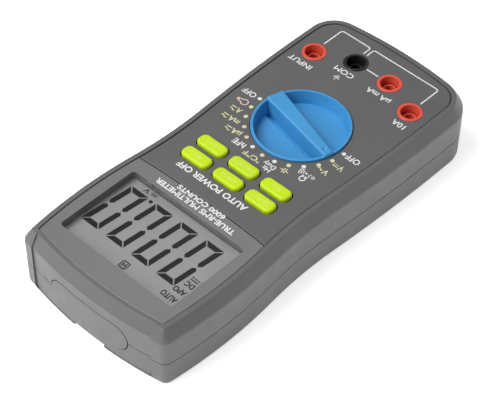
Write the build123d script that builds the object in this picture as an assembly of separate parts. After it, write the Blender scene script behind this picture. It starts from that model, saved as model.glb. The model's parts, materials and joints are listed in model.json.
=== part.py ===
from build123d import *
import math
import os

# Handheld digital multimeter, lying on its back.
# +X is the user's right, +Y runs from the sockets to the display, +Z comes out of the front.
# The origin is under the middle of the case, on the surface that the feet rest on. Millimetres.

# Driving sizes of the case
LENGTH = 190.5
END_STEP = 0.7
FOOT_PROUD = 0.5
CASE_BOTTOM = FOOT_PROUD
PANEL_Z = 30.2
RIM_Z = PANEL_Z + 0.2
EDGE_Z = PANEL_Z - 5.2
SPLIT_Z = PANEL_Z - 17.3
CHAMFER_IN = 3.3
UPPER_DRAFT_IN = 0.15
LOWER_DRAFT_IN = 0.15
BOTTOM_ROUND = 1.7
EDGE_ROUND = 2.0
RIM_ROUND = 0.35
WALL = 2.8
FLOOR = 2.0
TONGUE_IN = WALL - 1.3
TONGUE_THICK = 1.0
TONGUE_DEEP = 1.5

# Plan outline of the case at its widest edge: two bulges, a waist and two bowed ends
UPPER_BULGE = (42.4, 58.8)
UPPER_BULGE_RADIUS = 235.0
WAIST = (39.6, 8.7)
LOWER_BULGE = (42.0, -63.1)
SIDE_OVERRUN = 47.0
DISPLAY_END_RADIUS = 192.0
SOCKET_END_RADIUS = 222.0
DISPLAY_CORNER = 3.8
SOCKET_CORNER = 16.0
SEAM_WIDE = 0.36
SEAM_DEEP = END_STEP + 0.4
LEAST_CORNER = 0.8

# Front panel plate and lens, lying in one recess of the front case
RECESS_IN = 5.4
PLATE_IN = 5.7
PLATE_THICK = 1.8
DECK_TOP = PANEL_Z - PLATE_THICK
DECK_THICK = 1.8
DECK_UNDER = DECK_TOP - DECK_THICK
LENS_EDGE_Y = 30.8
LENS_EDGE_BOW = 1.5
LENS_GAP = 0.5
PLATE_ROUND = 0.35
WINDOW = (62.4, 40.6)
WINDOW_CORNER = 1.5
WINDOW_Y = 59.1

# Rotary knob
KNOB_Y = -27.7
KNOB_R = 21.3
KNOB_TOP = PANEL_Z + 1.0
KNOB_FLOOR = KNOB_TOP - 6.0
KNOB_FLOOR_R = 19.0
KNOB_RING = 1.1
TRENCH_WIDE = 2.6
TRENCH_DEEP = 2.2
KNOB_BASE = KNOB_FLOOR - TRENCH_DEEP - 1.2
BAR_TOP = 32.0
BAR_HALF_LENGTH = 21.2
BAR_POINTER_WIDTH = 4.4
BAR_TAIL_WIDTH = 8.4
BAR_ROUND = 0.9
BAR_ROOT = 0.5
POINTER_ANGLE = 165.0
DIMPLE_R = 1.3
DIMPLE_AT = 17.6
HOLE_GAP = 0.35
HUB_FLANGE_R = 23.4
HUB_TOP = DECK_UNDER - 0.1
HUB_FLOOR = KNOB_BASE - 0.05
HUB_FLANGE_THICK = 1.5
HUB_BORE_R = KNOB_R + 0.05
HUB_DRUM_R = 17.0
HUB_DRUM_WALL = 1.6
HUB_LOW = 16.8
HUB_DISC_R = 20.0
HUB_DISC_THICK = 1.4
PIVOT_R = 2.0
PIVOT_SLEEVE = 2.0
DETENT_COUNT = 24
DETENT_R = 0.9
DETENT_DEPTH = 0.45
DETENT_ANGLES = (90, 270)
NOSE_R = 0.7 * DETENT_R
LEAF_THICK = 0.5
LEAF_HALF = 7.0

# Wiper contacts under the knob's disc: angle and radius of each
WIPERS = ((20, 16.5), (140, 13.0), (260, 9.5))
WIPER_HALF = (1.5, 4.5)
WIPER_FOOT = 0.35
WIPER_SLIT = 0.2
WIPER_TONGUE = 1.0

# Push buttons: two rows of three pills
BUTTON_PITCH_X = 17.8
BUTTON_ROWS_Y = (15.9, 6.75)
BUTTON_SIZE = (14.5, 6.4)
BUTTON_END_R = 2.6
BUTTON_TOP = PANEL_Z + 1.6
BUTTON_GAP = 0.55
BUTTON_FLANGE = 1.0
BUTTON_FLANGE_THICK = 0.9
BUTTON_TRAVEL = 1.0
BUTTON_ROUND = 1.1
STEM_LOW = 19.0
STEM_SIZE = (7.0, 2.6)
MAT_THICK = 0.8
MAT_DEPTH = 18.0
DOME_SIZE = (9.0, 5.0)
DOME_CORNER = 2.0
BUTTON_NAMES = (
    ("select_button", "range_button", "hold_button"),
    ("relative_button", "max_min_button", "light_button"),
)

# Input sockets: shrouded, for 4 mm plugs
SOCKETS = {
    "socket_10a": (-27.1, -65.4),
    "socket_ma": (-9.5, -72.8),
    "socket_com": (9.5, -72.8),
    "socket_volt": (27.1, -65.4),
}
SOCKET_R = 5.5
SOCKET_BORE_R = 4.15
SOCKET_TOP = PANEL_Z + 0.3
SOCKET_LOW = 8.0
SOCKET_FLOOR = 1.5
SOCKET_FLANGE_R = 6.8
SOCKET_FLANGE_THICK = 2.0
SOCKET_ROUND = 0.3
SLEEVE_R = 3.0
SLEEVE_BORE_R = 2.02
SLEEVE_TOP = PANEL_Z - 6.0
SLEEVE_LOW = 5.4
SLEEVE_BASE = 1.2

# Circuit board
BOARD_LOW = 13.8
BOARD_THICK = 1.6
BOARD_TOP = BOARD_LOW + BOARD_THICK
BOARD_IN = 5.2
BOARD_GAP = 1.1

# Case screws, their bosses and the board screws
CASE_SCREWS = ((-33.0, 27.0), (33.0, 27.0), (-30.0, -82.0), (30.0, -82.0))
CASE_SCREW_R = 1.4
CASE_SCREW_HEAD_R = 2.7
CASE_SCREW_HEAD = 1.8
CASE_SCREW_SEAT = 6.0
CASE_SCREW_TOP = 23.0
FRONT_BOSS_R = 3.2
BOSS_GAP = 0.2
REAR_BOSS_R = 4.2
BOARD_SCREWS = ((-30.0, -6.0), (30.0, -6.0), (0.0, 86.2))
BOARD_BOSS_R = 2.4
BOARD_SCREW_R = 1.1
BOARD_SCREW_HEAD_R = 2.2
BOARD_SCREW_HEAD = 1.3
BOARD_SCREW_TOP = BOARD_TOP + 5.0
CROSS_SLOT = 0.5
CROSS_DEEP = 0.9

# Display
LCD_SIZE = (65.6, 44.0)
LCD_Y = WINDOW_Y - 1.0
LCD_THICK = 2.4
LCD_LEDGE = 1.0
LCD_TOP = DECK_UNDER - 0.2
LCD_LOW = LCD_TOP - LCD_THICK
HOLDER_WALL = 0.9
HOLDER_LEDGE = 1.6
HOLDER_CORNER = 1.0
ZEBRA_SIZE = (56.0, 2.2)
ZEBRA_EDGE = 2.4

# Batteries, their compartment and the cover
CELL_R = 5.2
CELL_LENGTH = 44.0
CELL_X = 5.5
CELL_Y = -26.0
CELL_Z = 8.2
CELL_NUB = (1.9, 0.8)
CELL_ROUND = 0.5
COVER_LOW_Y = -62.0
COVER_HIGH_Y = 4.0
COVER_HALF = 15.0
COVER_THICK = 1.8
COVER_GAP = 0.25
COVER_EDGE = 0.3
COVER_SCREW_Y = -57.5
COVER_SCREW_HEAD = 1.2
COVER_SCREW_TOP = CASE_BOTTOM + 5.0
BAY_WALL = 1.6
BAY_ROOT = 0.6
BRIDGE_SIZE = 4.0
BAY_TOP = SPLIT_Z - 0.4
CONTACT_THICK = 0.4
CONTACT_HALF = 4.6
CONTACT_LOW = 3.0
SPRING_ROOM = 3.0
COIL_RADII = (2.6, 3.6)
COIL_WIRE = 0.35
COIL_TURNS = 4

# Tilt stand in its recess
STAND_HALF = 24.0
STAND_HINGE_Y = 18.0
STAND_HINGE_Z = 3.3
STAND_END_Y = 87.4
STAND_LOW = 0.9
STAND_THICK = 3.0
STAND_GAP = 0.6
STAND_BARREL_R = 2.3
STAND_ROD_R = 1.2
STAND_RECESS_TOP = 4.5
STAND_EAR = 3.0
STAND_CORNER = 5.0
STAND_EDGE = 0.4
STAND_SKIN = 1.2
STAND_SPINE = 2.0
STAND_BORDER = 8.5
ROD_SHORT = 0.8
NOTCH_HALF = 8.5
NOTCH_TOP = 2.4
TAB_HALF = NOTCH_HALF - 0.4
TAB_END_Y = 93.2
TAB_THICK = 1.1

# Display end: shallow flat recess and oval plug
END_HALF = 33.5
END_LOW = 1.1
END_CORNER = 3.0
END_REACH = 14.0
PLUG_SIZE = (42.8, 13.0)
PLUG_Z = SPLIT_Z
PLUG_GAP = 0.4
PLUG_DEPTH = 2.6
PLUG_FLANGE = 1.2
PLUG_FLANGE_THICK = 1.2
PLUG_NECK_IN = 2.0
PLUG_ROOM = 6.0

# Fuses
FUSES = {"fuse_10a": (26.5, -31.0, 5.1, 38.0), "fuse_ma": (-26.5, -31.0, 3.15, 32.0)}
FUSE_CAP = 6.5
FUSE_CAP_PROUD = 0.1
FUSE_Z = 7.9
CLIP_THICK = 0.5
CLIP_WIDTH = 4.5
CLIP_MOUTH = 0.7
CLIP_LEG = 1.5

# Buzzer can on the board
BUZZER_AT = (0.0, 27.5)
BUZZER_R = 6.0
BUZZER_HIGH = 4.0
BUZZER_PORT_R = 1.0

# Feet
FEET = ((-31.0, 72.0), (31.0, 72.0), (-31.0, -60.0), (31.0, -60.0))
FOOT_R = 4.0
FOOT_THICK = 1.2
FOOT_ROUND = 0.3

# Chips on the board (x, y, width, height), and the current shunt
CHIPS = ((0, 62.0, 14.0, 14.0), (-18.0, 58.0, 7.0, 5.0), (17.0, 66.0, 5.0, 8.0))
CHIP_THICK = 1.6
CHIP_LEG_GAP = 0.1
CHIP_EDGE = 0.3
SHUNT_Y = -84.0
SHUNT_HALF = 12.0
SHUNT_WIRE_R = 0.8
SHUNT_HIGH = 5.0

# Small amounts used throughout
FAR = 200.0
OVER = 1.0
FUSE = 0.1
RUNNING_GAP = 0.05
THREAD_GAP = 0.02
CLEAR_GAP = 0.15
WIDE_GAP = 0.3


def on_line(start, toward, distance):
    span = math.hypot(toward[0] - start[0], toward[1] - start[1])
    share = distance / span
    return (start[0] + (toward[0] - start[0]) * share, start[1] + (toward[1] - start[1]) * share)


def radii_sum(bulge):
    """Sum of a bulge's radius and the waist's, for two arcs that meet smoothly."""
    across = bulge[0] - WAIST[0]
    along = bulge[1] - WAIST[1]
    return (across ** 2 + along ** 2) / (2 * across)


WAIST_RADIUS = radii_sum(UPPER_BULGE) - UPPER_BULGE_RADIUS
LOWER_BULGE_RADIUS = radii_sum(LOWER_BULGE) - WAIST_RADIUS


def side_points(inset):
    """End, apex and joint points of the three arcs of one side, socket end first."""
    upper = (UPPER_BULGE[0] - UPPER_BULGE_RADIUS, UPPER_BULGE[1])
    lower = (LOWER_BULGE[0] - LOWER_BULGE_RADIUS, LOWER_BULGE[1])
    waist = (WAIST[0] + WAIST_RADIUS, WAIST[1])
    upper_r = UPPER_BULGE_RADIUS - inset
    lower_r = LOWER_BULGE_RADIUS - inset
    low_end = (lower[0] + math.sqrt(lower_r ** 2 - SIDE_OVERRUN ** 2), lower[1] - SIDE_OVERRUN)
    top_end = (upper[0] + math.sqrt(upper_r ** 2 - SIDE_OVERRUN ** 2), upper[1] + SIDE_OVERRUN)
    low_joint = on_line(lower, waist, lower_r)
    top_joint = on_line(upper, waist, upper_r)
    low_apex = (LOWER_BULGE[0] - inset, LOWER_BULGE[1])
    waist_apex = (WAIST[0] - inset, WAIST[1])
    top_apex = (UPPER_BULGE[0] - inset, UPPER_BULGE[1])
    return [low_end, low_apex, low_joint, waist_apex, top_joint, top_apex, top_end]


def outline(inset, display_corner=DISPLAY_CORNER, socket_corner=SOCKET_CORNER):
    """Plan outline of the case, moved inward by inset."""
    right = side_points(inset)
    left = [(-x, y) for x, y in right]
    with BuildSketch() as sketch:
        with BuildLine():
            for points in (right, left):
                for start in range(0, len(points) - 1, 2):
                    ThreePointArc(*points[start:start + 3])
            Line(right[0], left[0])
            Line(right[-1], left[-1])
        make_face()
        with Locations((0, LENGTH / 2 + END_STEP - DISPLAY_END_RADIUS)):
            Circle(DISPLAY_END_RADIUS - inset, mode=Mode.INTERSECT)
        with Locations((0, SOCKET_END_RADIUS - LENGTH / 2)):
            Circle(SOCKET_END_RADIUS - inset, mode=Mode.INTERSECT)
        by_y = sketch.vertices().sort_by(Axis.Y)
        fillet(by_y[-2:], max(display_corner - inset, LEAST_CORNER))
        by_y = sketch.vertices().sort_by(Axis.Y)
        fillet(by_y[:2], max(socket_corner - inset, LEAST_CORNER))
    return sketch.sketch


def slab(inset, low, high):
    return extrude(Pos(0, 0, low) * outline(inset), amount=high - low)


def block(x_range, y_range, z_range):
    middle = [(a + b) / 2 for a, b in (x_range, y_range, z_range)]
    size = [b - a for a, b in (x_range, y_range, z_range)]
    return Pos(*middle) * Box(*size)


def post(x, y, radius, low, high):
    return Pos(x, y, (low + high) / 2) * Cylinder(radius, high - low)


def posts(places, radius, low, high):
    return [post(x, y, radius, low, high) for x, y in places]


def pill(x, y, width, height, low, high, corner):
    """Upright prism of a rectangle with rounded corners."""
    return extrude(Pos(x, y, low) * RectangleRounded(width, height, corner), amount=high - low)


def frustum(low_inset, low, high_inset, high):
    """Solid between two outlines at two heights, with straight tapered sides."""
    return loft([Pos(0, 0, low) * outline(low_inset), Pos(0, 0, high) * outline(high_inset)], ruled=True)


def edges_at(shape, z):
    return shape.edges().filter_by_position(Axis.Z, z - 0.01, z + 0.01)


def upper_shape(inset=0.0):
    """Outer form of the case above the parting line: wall, wide edge and chamfer."""
    chamfered = frustum(inset, EDGE_Z, inset + CHAMFER_IN, RIM_Z)
    wall = frustum(inset + UPPER_DRAFT_IN, SPLIT_Z, inset, EDGE_Z)
    return chamfered + wall


def lower_shape(inset=0.0, rounded=True):
    """Outer form of the case below the parting line."""
    top_inset = inset + UPPER_DRAFT_IN
    shape = frustum(top_inset + LOWER_DRAFT_IN, CASE_BOTTOM, top_inset, SPLIT_Z)
    return fillet(edges_at(shape, CASE_BOTTOM), BOTTOM_ROUND) if rounded else shape


def end_recess(shape_inside):
    """Thin layer taken off the display end, between its two corners."""
    face = RectangleRounded(2 * END_HALF, 2 * (FAR - END_LOW), END_CORNER)
    prism = extrude(Plane.XZ.offset(-FAR) * Pos(0, FAR) * face, amount=FAR - LENGTH / 2 + END_REACH)
    return prism - shape_inside


def stadium_prism(grow, low_y, high_y):
    shape = SlotOverall(PLUG_SIZE[0] + 2 * grow, PLUG_SIZE[1] + 2 * grow)
    return extrude(Plane.XZ.offset(-high_y) * Pos(0, PLUG_Z) * shape, amount=high_y - low_y)


def plug_pocket():
    """Room for the plug in its wall and for the flange behind the wall."""
    low_y = LENGTH / 2 - PLUG_ROOM
    behind = slab(WALL + WIDE_GAP, 0, DECK_UNDER) & stadium_prism(PLUG_FLANGE + WIDE_GAP, low_y, LENGTH)
    return stadium_prism(PLUG_GAP, low_y, LENGTH) + behind


def seam():
    """Fine groove round the case where its two halves meet."""
    low = SPLIT_Z - SEAM_WIDE / 2
    high = SPLIT_Z + SEAM_WIDE / 2
    return slab(-OVER, low, high) - slab(UPPER_DRAFT_IN + SEAM_DEEP, low - OVER, high + OVER)


def lens_region(gap):
    """Everything on the display side of the bowed lower edge of the lens."""
    half = UPPER_BULGE[0]
    low = LENS_EDGE_Y + gap
    with BuildSketch() as sketch:
        with BuildLine():
            left = (-half, low + LENS_EDGE_BOW)
            right = (half, low + LENS_EDGE_BOW)
            ThreePointArc(left, (0, low), right)
            Polyline(right, (half, LENGTH), (-half, LENGTH), left)
        make_face()
    return extrude(Pos(0, 0, DECK_TOP - OVER) * sketch.sketch, amount=PLATE_THICK + 2 * OVER)


def button_places():
    for names, y in zip(BUTTON_NAMES, BUTTON_ROWS_Y):
        for column, name in enumerate(names):
            yield name, (column - 1) * BUTTON_PITCH_X, y


def front_openings(low, high):
    """Holes for the knob, the buttons and the sockets."""
    cuts = [post(0, KNOB_Y, KNOB_R + HOLE_GAP, low, high)]
    width, height = (size + 2 * BUTTON_GAP for size in BUTTON_SIZE)
    corner = BUTTON_END_R + BUTTON_GAP
    cuts += [pill(x, y, width, height, low, high, corner) for _, x, y in button_places()]
    cuts += posts(SOCKETS.values(), SOCKET_R + FUSE, low, high)
    return cuts


def round_top(shape, z, radius):
    return fillet(edges_at(shape, z), radius)


def make_front_case():
    body = upper_shape()
    body = fillet(edges_at(body, EDGE_Z), EDGE_ROUND)
    body = round_top(body, RIM_Z, RIM_ROUND)
    body -= end_recess(upper_shape(END_STEP))
    body -= seam()
    body -= slab(WALL, SPLIT_Z - OVER, DECK_UNDER)
    body -= slab(RECESS_IN, DECK_TOP, RIM_Z + OVER)
    window_x, window_y = WINDOW
    body -= pill(0, WINDOW_Y, window_x, window_y, DECK_UNDER - OVER, DECK_TOP + OVER, WINDOW_CORNER)
    body -= front_openings(DECK_UNDER - OVER, DECK_TOP + OVER)
    body -= plug_pocket()
    body += posts(CASE_SCREWS, FRONT_BOSS_R, SPLIT_Z + BOSS_GAP, DECK_UNDER + FUSE)
    body += posts(BOARD_SCREWS, BOARD_BOSS_R, BOARD_TOP + RUNNING_GAP, DECK_UNDER + FUSE)
    body -= posts(CASE_SCREWS, CASE_SCREW_R + THREAD_GAP, SPLIT_Z, CASE_SCREW_TOP + OVER)
    body -= posts(BOARD_SCREWS, BOARD_SCREW_R + THREAD_GAP, SPLIT_Z, BOARD_SCREW_TOP + OVER)
    return body + case_tongue()


def case_tongue():
    """Lip of the front case that drops inside the rear case, broken where the plug stands."""
    low = SPLIT_Z - TONGUE_DEEP
    high = SPLIT_Z + TONGUE_DEEP / 2
    ring = slab(TONGUE_IN, low, high) - slab(TONGUE_IN + TONGUE_THICK, low - OVER, high + OVER)
    plug_half = PLUG_SIZE[0] / 2 + PLUG_FLANGE + OVER
    return ring - block((-plug_half, plug_half), (LENGTH / 2 - END_REACH, LENGTH), (0, FAR))


def rear_floor_cuts():
    low = CASE_BOTTOM - OVER
    cuts = [post(x, y, CASE_SCREW_HEAD_R + WIDE_GAP, low, CASE_SCREW_SEAT) for x, y in CASE_SCREWS]
    cuts += posts(FEET, FOOT_R + FUSE, low, FOOT_THICK)
    cuts.append(block(
        (-STAND_HALF - STAND_GAP, STAND_HALF + STAND_GAP),
        (STAND_HINGE_Y - STAND_BARREL_R - STAND_GAP, STAND_END_Y + STAND_GAP),
        (low, STAND_RECESS_TOP),
    ))
    cuts.append(block(
        (-STAND_HALF - STAND_GAP, STAND_HALF + STAND_GAP),
        (STAND_HINGE_Y - STAND_BARREL_R - STAND_GAP, STAND_HINGE_Y + STAND_BARREL_R + STAND_GAP),
        (low, STAND_HINGE_Z + STAND_BARREL_R + STAND_GAP),
    ))
    cuts.append(block((-NOTCH_HALF, NOTCH_HALF), (STAND_END_Y, LENGTH / 2 + OVER), (low, NOTCH_TOP)))
    cuts.append(block(
        (-COVER_HALF - COVER_GAP, COVER_HALF + COVER_GAP),
        (COVER_LOW_Y - COVER_GAP, COVER_HIGH_Y + COVER_GAP),
        (low, CASE_BOTTOM + FLOOR + FUSE),
    ))
    return cuts


def battery_bay():
    """Walls round the cells, standing on the floor of the rear case."""
    inner = COVER_HALF + COVER_GAP
    outer = inner + BAY_WALL
    low_y = COVER_LOW_Y - COVER_GAP
    high_y = COVER_HIGH_Y + COVER_GAP
    low = CASE_BOTTOM + BAY_ROOT
    walls = block((-outer, outer), (low_y - BAY_WALL, high_y + BAY_WALL), (low, BAY_TOP))
    walls -= block((-inner, inner), (low_y, high_y), (low - OVER, BAY_TOP + OVER))
    boss_low = CASE_BOTTOM + COVER_THICK + FUSE
    reach = inner + BAY_WALL / 3
    bridge = block(
        (-reach, reach),
        (low_y - BAY_WALL / 3, COVER_SCREW_Y + BRIDGE_SIZE),
        (boss_low, boss_low + BRIDGE_SIZE),
    )
    hole = post(0, COVER_SCREW_Y, BOARD_SCREW_R + THREAD_GAP, boss_low - OVER, boss_low + BRIDGE_SIZE + OVER)
    return walls + bridge - hole


def make_rear_case():
    body = lower_shape()
    body -= end_recess(lower_shape(END_STEP, rounded=False))
    body -= seam()
    hollow = slab(WALL + WIDE_GAP, CASE_BOTTOM + FLOOR, SPLIT_Z + OVER)
    across = (-STAND_HALF - STAND_EAR, STAND_HALF + STAND_EAR)
    reach = STAND_BARREL_R + STAND_GAP + FLOOR
    recess_roof = block(across, (STAND_HINGE_Y - reach, LENGTH / 2), (0, STAND_RECESS_TOP + FLOOR))
    hinge_roof = block(across, (STAND_HINGE_Y - reach, STAND_HINGE_Y + reach), (0, STAND_HINGE_Z + reach))
    body -= hollow - recess_roof - hinge_roof
    body += posts(CASE_SCREWS, REAR_BOSS_R, CASE_BOTTOM + OVER, SPLIT_Z)
    body += battery_bay()
    body -= rear_floor_cuts()
    body -= posts(CASE_SCREWS, CASE_SCREW_R + BOSS_GAP, CASE_BOTTOM, SPLIT_Z + OVER)
    rod = Pos(0, STAND_HINGE_Y, STAND_HINGE_Z) * Rot(0, 90, 0)
    body -= rod * Cylinder(STAND_ROD_R, 2 * (STAND_HALF + STAND_EAR - ROD_SHORT))
    step_low = SPLIT_Z - TONGUE_DEEP - 2 * FUSE
    step = slab(TONGUE_IN - FUSE, step_low, SPLIT_Z + OVER)
    body -= step - slab(WALL + WIDE_GAP, step_low - OVER, SPLIT_Z + 2 * OVER)
    return body - plug_pocket()


def make_front_panel():
    plate = slab(PLATE_IN, DECK_TOP, PANEL_Z) - lens_region(-LENS_GAP)
    plate = chamfer(edges_at(plate, PANEL_Z), PLATE_ROUND)
    return plate - front_openings(DECK_TOP - OVER, PANEL_Z + OVER)


def make_display_lens():
    plate = slab(PLATE_IN, DECK_TOP, PANEL_Z) & lens_region(0)
    return round_top(plate, PANEL_Z, PLATE_ROUND)


def make_lcd_glass():
    width, height = LCD_SIZE
    back = Pos(0, LCD_Y, LCD_LOW + LCD_THICK / 4) * Box(width, height, LCD_THICK / 2)
    front_size = (width, height - 2 * LCD_LEDGE, LCD_THICK / 2)
    front = Pos(0, LCD_Y + LCD_LEDGE, LCD_TOP - LCD_THICK / 4) * Box(*front_size)
    return back + front


def make_lcd_holder():
    room = [size + 2 * FUSE for size in LCD_SIZE]
    outer = [size + 2 * HOLDER_WALL for size in room]
    frame = pill(0, LCD_Y, *outer, BOARD_TOP, LCD_TOP, HOLDER_CORNER)
    frame -= pill(0, LCD_Y, *room, LCD_LOW, LCD_TOP + OVER, WIDE_GAP)
    open_x = LCD_SIZE[0] - 2 * HOLDER_LEDGE
    open_y = LCD_SIZE[1] - 2 * HOLDER_LEDGE + LCD_LEDGE
    frame -= pill(0, LCD_Y, open_x, open_y, BOARD_TOP - OVER, LCD_LOW + OVER, HOLDER_CORNER)
    return frame - posts(BOARD_SCREWS, BOARD_BOSS_R + WIDE_GAP, BOARD_TOP - OVER, LCD_TOP + OVER)


def make_zebra_strips():
    width, depth = ZEBRA_SIZE
    offset = LCD_SIZE[1] / 2 - ZEBRA_EDGE
    return [
        block((-width / 2, width / 2), (y - depth / 2, y + depth / 2), (BOARD_TOP, LCD_LOW))
        for y in (LCD_Y - offset, LCD_Y + offset)
    ]


def make_circuit_board():
    board = slab(BOARD_IN, BOARD_LOW, BOARD_TOP)
    low = BOARD_LOW - OVER
    high = BOARD_TOP + OVER
    board -= posts(CASE_SCREWS, FRONT_BOSS_R + BOARD_GAP, low, high)
    board -= posts(BOARD_SCREWS, BOARD_SCREW_R + CLEAR_GAP, low, high)
    board -= posts(SOCKETS.values(), SOCKET_R + BOSS_GAP, low, high)
    return board - post(0, KNOB_Y, PIVOT_R + RUNNING_GAP, low, high)


def bar_plan(grow=0.0):
    """Plan of the grip bar, narrow at the pointer end on +X, before the knob is turned."""
    half = BAR_HALF_LENGTH
    tail = BAR_TAIL_WIDTH / 2 + grow
    point = BAR_POINTER_WIDTH / 2 + grow
    return make_face(Polyline((half, -point), (half, point), (-half, tail), (-half, -tail), close=True))


def grip_bar():
    low = KNOB_BASE + BAR_ROOT
    bar = round_top(extrude(Pos(0, 0, low) * bar_plan(), amount=BAR_TOP - low), BAR_TOP, BAR_ROUND)
    return bar & Cylinder(BAR_HALF_LENGTH, FAR)


def finger_trenches():
    """Deeper grooves in the cup's floor, along both sides of the bar."""
    low = KNOB_FLOOR - TRENCH_DEEP
    trench = extrude(Pos(0, 0, low) * bar_plan(TRENCH_WIDE), amount=TRENCH_DEEP + FUSE)
    return trench & Cylinder(KNOB_FLOOR_R, FAR)


def make_range_knob():
    cup = round_top(post(0, 0, KNOB_R, KNOB_BASE, KNOB_TOP), KNOB_TOP, RIM_ROUND)
    depth = KNOB_TOP - KNOB_FLOOR
    cavity = Pos(0, 0, KNOB_FLOOR + depth / 2) * Cone(KNOB_FLOOR_R, KNOB_R - KNOB_RING, depth)
    cup -= cavity
    cup -= finger_trenches()
    cup += grip_bar()
    cup -= Pos(DIMPLE_AT, 0, BAR_TOP + DIMPLE_R / 2) * Sphere(DIMPLE_R)
    cup += post(0, 0, PIVOT_R + PIVOT_SLEEVE, HUB_LOW + HUB_DISC_THICK, KNOB_BASE + FUSE)
    return Pos(0, KNOB_Y, 0) * Rot(0, 0, POINTER_ANGLE) * cup


def make_knob_hub():
    """Rotor under the knob: a scalloped cup that the deck holds in, a drum and a contact disc."""
    floor_low = HUB_FLOOR - HUB_FLANGE_THICK
    hub = post(0, 0, HUB_FLANGE_R, floor_low, HUB_TOP) - post(0, 0, HUB_BORE_R, HUB_FLOOR, HUB_TOP + OVER)
    scallop_x = HUB_FLANGE_R + DETENT_R - DETENT_DEPTH
    hub -= [
        Rot(0, 0, 360 / DETENT_COUNT * step) * post(scallop_x, 0, DETENT_R, 0, FAR)
        for step in range(DETENT_COUNT)
    ]
    drum = post(0, 0, HUB_DRUM_R, HUB_LOW, floor_low + FUSE)
    hub += drum - post(0, 0, HUB_DRUM_R - HUB_DRUM_WALL, HUB_LOW - OVER, floor_low)
    hub += post(0, 0, HUB_DISC_R, HUB_LOW, HUB_LOW + HUB_DISC_THICK)
    hub -= post(0, 0, PIVOT_R + PIVOT_SLEEVE + THREAD_GAP, HUB_LOW + HUB_DISC_THICK, FAR)
    hub += post(0, 0, PIVOT_R, BOARD_LOW, HUB_LOW + FUSE)
    return Pos(0, KNOB_Y, 0) * hub


def make_wiper_contacts():
    """Pairs of sprung contact fingers under the hub, just off the board's tracks."""
    fingers = []
    heights = (BOARD_TOP + FUSE, HUB_LOW - WIPER_FOOT + RUNNING_GAP)
    for angle, radius in WIPERS:
        contact = block(
            (radius - WIPER_HALF[0], radius + WIPER_HALF[0]),
            (-WIPER_HALF[1], WIPER_HALF[1]),
            (HUB_LOW - WIPER_FOOT, HUB_LOW),
        )
        for side in (-1, 1):
            near = radius + side * WIPER_SLIT
            far = near + side * WIPER_TONGUE
            contact += block((min(near, far), max(near, far)), (-WIPER_HALF[1] + WIDE_GAP, 0), heights)
        fingers.append(Pos(0, KNOB_Y, 0) * Rot(0, 0, angle) * contact)
    return fingers


def make_detent_springs():
    """Two leaf springs fixed under the deck, each with a nose in a scallop of the hub."""
    springs = []
    for angle in DETENT_ANGLES:
        nose_x = HUB_FLANGE_R + CLEAR_GAP + NOSE_R
        nose = post(nose_x, 0, NOSE_R, HUB_FLOOR, HUB_TOP)
        leaf_x = nose_x + DETENT_R / 2
        leaf = block(
            (leaf_x, leaf_x + LEAF_THICK), (-LEAF_HALF, LEAF_HALF), (HUB_FLOOR, DECK_UNDER - RUNNING_GAP)
        )
        springs.append(Pos(0, KNOB_Y, 0) * Rot(0, 0, angle) * (nose + leaf))
    return springs


def make_button(x, y):
    width, height = BUTTON_SIZE
    top = pill(x, y, width, height, DECK_UNDER - OVER, BUTTON_TOP, BUTTON_END_R)
    top = round_top(top, BUTTON_TOP, BUTTON_ROUND)
    flange_top = DECK_UNDER - RUNNING_GAP
    flange_low = flange_top - BUTTON_FLANGE_THICK
    flange_size = [size + 2 * BUTTON_FLANGE for size in BUTTON_SIZE]
    flange = pill(x, y, *flange_size, flange_low, flange_top, BUTTON_END_R + BUTTON_FLANGE)
    stem_x, stem_y = STEM_SIZE
    stem = Pos(x, y, (STEM_LOW + DECK_UNDER) / 2) * Box(stem_x, stem_y, DECK_UNDER - STEM_LOW - 2 * BOSS_GAP)
    return top + flange + stem


def make_keypad():
    """Silicone mat on the board, with a dome under each button at its pressed height."""
    width = 2 * BUTTON_PITCH_X + BUTTON_SIZE[0]
    mid_y = sum(BUTTON_ROWS_Y) / 2
    mat_top = BOARD_TOP + MAT_THICK
    mat = pill(0, mid_y, width, MAT_DEPTH, BOARD_TOP, mat_top, DOME_CORNER)
    dome_top = STEM_LOW - BUTTON_TRAVEL - CLEAR_GAP
    domes = [pill(x, y, *DOME_SIZE, mat_top - FUSE, dome_top, DOME_CORNER) for _, x, y in button_places()]
    return mat + domes


def make_socket(x, y):
    tube = post(x, y, SOCKET_R, SOCKET_LOW, SOCKET_TOP)
    tube = round_top(tube, SOCKET_TOP, SOCKET_ROUND)
    tube += post(x, y, SOCKET_FLANGE_R, DECK_UNDER - SOCKET_FLANGE_THICK, DECK_UNDER - FUSE)
    tube -= post(x, y, SOCKET_BORE_R, SOCKET_LOW + SOCKET_FLOOR, SOCKET_TOP + OVER)
    return tube - post(x, y, SLEEVE_R + THREAD_GAP, SOCKET_LOW - OVER, SOCKET_TOP)


def make_contact_sleeves():
    sleeves = []
    for x, y in SOCKETS.values():
        sleeve = post(x, y, SLEEVE_R, SLEEVE_LOW, SLEEVE_TOP)
        sleeves.append(sleeve - post(x, y, SLEEVE_BORE_R, SLEEVE_LOW + SLEEVE_BASE, SLEEVE_TOP + OVER))
    return sleeves


def make_fuse_body(x, y, radius, length):
    return Pos(x, y, FUSE_Z) * Rot(90, 0, 0) * Cylinder(radius, length - 2 * FUSE_CAP)


def make_fuse_caps():
    caps = []
    for x, y, radius, length in FUSES.values():
        for side in (-1, 1):
            middle = y + side * (length - FUSE_CAP) / 2
            caps.append(Pos(x, middle, FUSE_Z) * Rot(90, 0, 0) * Cylinder(radius + FUSE_CAP_PROUD, FUSE_CAP))
    return caps


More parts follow.
